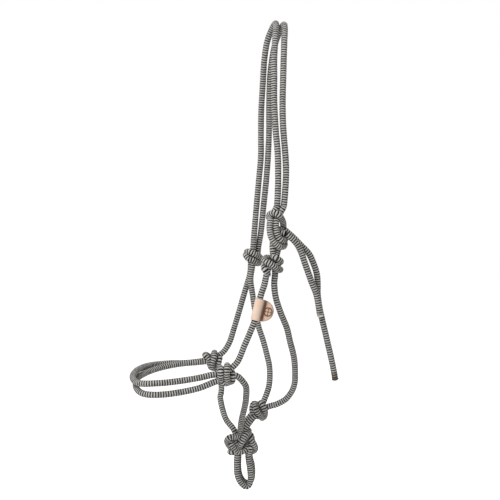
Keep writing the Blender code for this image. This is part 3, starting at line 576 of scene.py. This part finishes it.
def tag_profile(v):
    """Outer outline of the tag across the cord at height v, with the tone (painted shade in the fold included) and
    the rim's grey at each point.
    """
    edge = SLEEVE + (REACH - SLEEVE) * math.sqrt(max(0.0, 1 - (abs(v) / HALF) ** 2.1))
    flap = max(0.05, min(1.0, (edge - SLEEVE) / 2.5))
    a = np.radians(WRAP)
    # Slight unevenness of the sleeve's radius round the cord.
    uneven_and_fold_shade = 1 + 0.012 * np.sin(3 * a + 0.4) + 0.01 * np.sin(v * 0.5)
    sleeve = np.stack([SLEEVE * uneven_and_fold_shade * np.cos(a), SLEEVE * uneven_and_fold_shade * np.sin(a)], 1)
    root = LIP + (FOLD - LIP) * flap
    out = np.linspace(0, 1, 44)
    u = root + (max(edge, root + 0.05) - root) * out
    thick = SHEET * flap + LIP_THICK * (1 - flap)
    rim = np.clip((u[-1] - u) / 0.9, 0, 1)
    w = thick * (0.55 + 0.45 * np.sqrt(1 - (1 - rim) ** 2))
    near = np.exp(-((u - root) / 1.1) ** 2)
    pressed = mark(u - MARK, np.full_like(u, v)) * (rim > 0.99)
    seam = np.exp(-((u - SEAM) / 0.42) ** 2) * (abs(v) < SEAM_HALF)
    bend = 0.35 * math.sin(v * 0.23 + 0.5) * out
    front = np.stack([u, w + bend - 0.38 * pressed * flap - 0.30 * seam * flap - 0.25 * near * flap], 1)
    rear = np.stack([u, -w + bend], 1)
    # The flap's tone darkens towards the fold: painted shade in the fold, with some real darkening of the crease;
    # the pressed mark and the seam darken it too.
    tone_flap = 0.28 + 0.62 * np.exp(-((u - root) / 2.7) ** 2) + 0.7 * pressed + 0.3 * seam + 0.1 * out
    grey = np.clip((1.5 - (u[-1] - u)) / 0.8, 0, 1) * (abs(v) < HALF - 0.6 or flap > 0.5)
    # The rear face darkens near the fold as well: painted shade in the fold, with some real darkening of the crease.
    tone_rear = 0.34 + 0.4 * np.exp(-((u - root) / 1.9) ** 2) + 0.0 * u
    # The sleeve darkens where it meets the flap's front face: painted shade in the fold, with some real darkening of
    # the crease.
    tone_sleeve = 0.06 + 0.10 * (0.5 + 0.5 * np.sin(a * 2 + v * 0.2)) + 0.25 * np.exp(-((a - a[0]) / 0.25) ** 2)
    line = np.vstack([sleeve, rear, front[::-1]])
    tone = np.concatenate([tone_sleeve, tone_rear, tone_flap[::-1]])
    rimmed = np.concatenate([np.zeros(len(a)), grey, grey[::-1]])
    return line, np.clip(tone, 0, 1), rimmed


def leather_tag():
    """One strip of leather folded round the cord and sewn to itself, with a pressed mark on its round flap."""
    rows = np.concatenate([[-HALF], np.linspace(-HALF + 0.12, HALF - 0.12, 75), [HALF]])
    rings, tones, rims = [], [], []
    for v in rows:
        line, tone, rimmed = tag_profile(v)
        if abs(v) == HALF:
            line = line * EASED
        rings.append(np.column_stack([line, np.full(len(line), v)]))
        tones.append(tone)
        rims.append(rimmed)
    n = len(rings[0])
    a = np.arctan2(rings[0][:, 1], rings[0][:, 0])
    a[:len(WRAP)] = np.radians(WRAP)
    bore = np.stack([BORE * np.cos(a), BORE * np.sin(a)], 1)
    for v in rows[::-1]:
        rings.append(np.column_stack([bore, np.full(n, v * 0.995)]))
        tones.append(np.full(n, 0.5))
        rims.append(np.zeros(n))
    faces = net(len(rings), n, closed=True)
    ob = build_mesh("leather_tag_strip", [(tag_place(np.vstack(rings)), faces, np.zeros(len(faces), int))],
                    [leather()])
    # The first attribute carries the tag's tone, painted shade in the fold included; the second carries the rim's
    # grey.
    for name, values in (("uneven_and_fold_shade", tones), ("rim", rims)):
        shade = ob.data.attributes.new(name, "FLOAT", "POINT")
        shade.data.foreach_set("value", np.concatenate(values).astype(np.float32))
    place(ob, "tag_leather")


def leather():
    """Undyed veg-tan leather, darker in the pressed mark and the burnished rim, and in the fold, where the darkness
    is painted shade with some real darkening of the crease.
    """
    m, nt, b, fine = shader("veg_tan", (0.7, 0.5, 0.36), 0.5, scale=1500, bump=0.5, depth=0.0002, level=0.4)
    # This attribute carries the tag's tone, painted shade in the fold included.
    uneven_and_fold_shade, rim = nt.nodes.new("ShaderNodeAttribute"), nt.nodes.new("ShaderNodeAttribute")
    uneven_and_fold_shade.attribute_name, rim.attribute_name = "uneven_and_fold_shade", "rim"
    drift = nt.nodes.new("ShaderNodeTexNoise")
    drift.inputs["Scale"].default_value = 260
    drift.inputs["Detail"].default_value = 5
    nt.links.new(fine.inputs["Vector"].links[0].from_socket, drift.inputs["Vector"])
    add = nt.nodes.new("ShaderNodeMath")
    add.operation = "MULTIPLY_ADD"
    add.inputs[1].default_value = 0.22
    nt.links.new(drift.outputs["Fac"], add.inputs[0])
    nt.links.new(uneven_and_fold_shade.outputs["Fac"], add.inputs[2])
    ramp = nt.nodes.new("ShaderNodeValToRGB")
    for _ in range(2):
        ramp.color_ramp.elements.new(0.5)
    # The dark end of this ramp gives the pressed mark and the painted shade in the fold.
    tones = ((0.08, (0.42, 0.325, 0.265)), (0.42, (0.36, 0.25, 0.185)), (0.75, (0.13, 0.058, 0.028)),
             (1.0, (0.05, 0.021, 0.010)))
    for e, (t, c) in zip(ramp.color_ramp.elements, tones):
        e.position, e.color = t, (*c, 1)
    nt.links.new(add.outputs[0], ramp.inputs["Fac"])
    mix = nt.nodes.new("ShaderNodeMix")
    mix.data_type = "RGBA"
    mix.inputs["B"].default_value = (0.14, 0.10, 0.085, 1)
    nt.links.new(rim.outputs["Fac"], mix.inputs["Factor"])
    nt.links.new(ramp.outputs["Color"], mix.inputs["A"])
    nt.links.new(mix.outputs["Result"], b.inputs["Base Color"])
    return m


def tag_stitches():
    """Short waxed stitches sunk in the seam beside the fold, on both faces."""
    t = np.linspace(-1, 1, 9)
    a = 2 * np.pi * np.arange(10) / 10
    r = STITCH * np.sqrt(np.clip(1.02 - t ** 6, 0.02, 1))[:, None]
    tube = np.stack([np.cos(a) * r, np.sin(a) * r, np.zeros((len(t), len(a)))], -1)
    faces = net(len(t), len(a))
    parts = []
    for side, u in ((1, SEAM), (-1, SEAM - 0.1)):
        for k in range(STITCHES):
            mid = (k - (STITCHES - 1) / 2) * STITCH_STEP
            line = np.stack([np.full(len(t), u), side * (1.32 + 0.30 * (1 - t ** 4)), mid + 0.85 * t], 1)
            p = (line[:, None, :] + tube).reshape(-1, 3)
            parts.append((tag_place(p), faces, np.zeros(len(faces), int)))
    place(build_mesh("leather_tag_stitches", parts, [THREAD]), "tag_stitching")


def rope_knots():
    """The turns of every knot, with the rings packed a little closer than on a straight run."""
    for k, (name, turns) in enumerate(KNOTS.items()):
        parts = [braid_arrays(smooth(t, 1.0), 12.0 * q, seed=101 + 7 * k + q, size=KNOT_RING)
                 for q, t in enumerate(turns)]
        place(build_mesh(name + "_braid", parts, YARNS), name)


studio()
TIPS = {"long_tail": melted_tip("long_tail", MELT_DARK, 0.45, 1.0),
        "short_tail": melted_tip("short_tail", MELT_LIGHT, 0.1, 2.0)}
rope_runs()
rope_knots()
leather_tag()
tag_stitches()
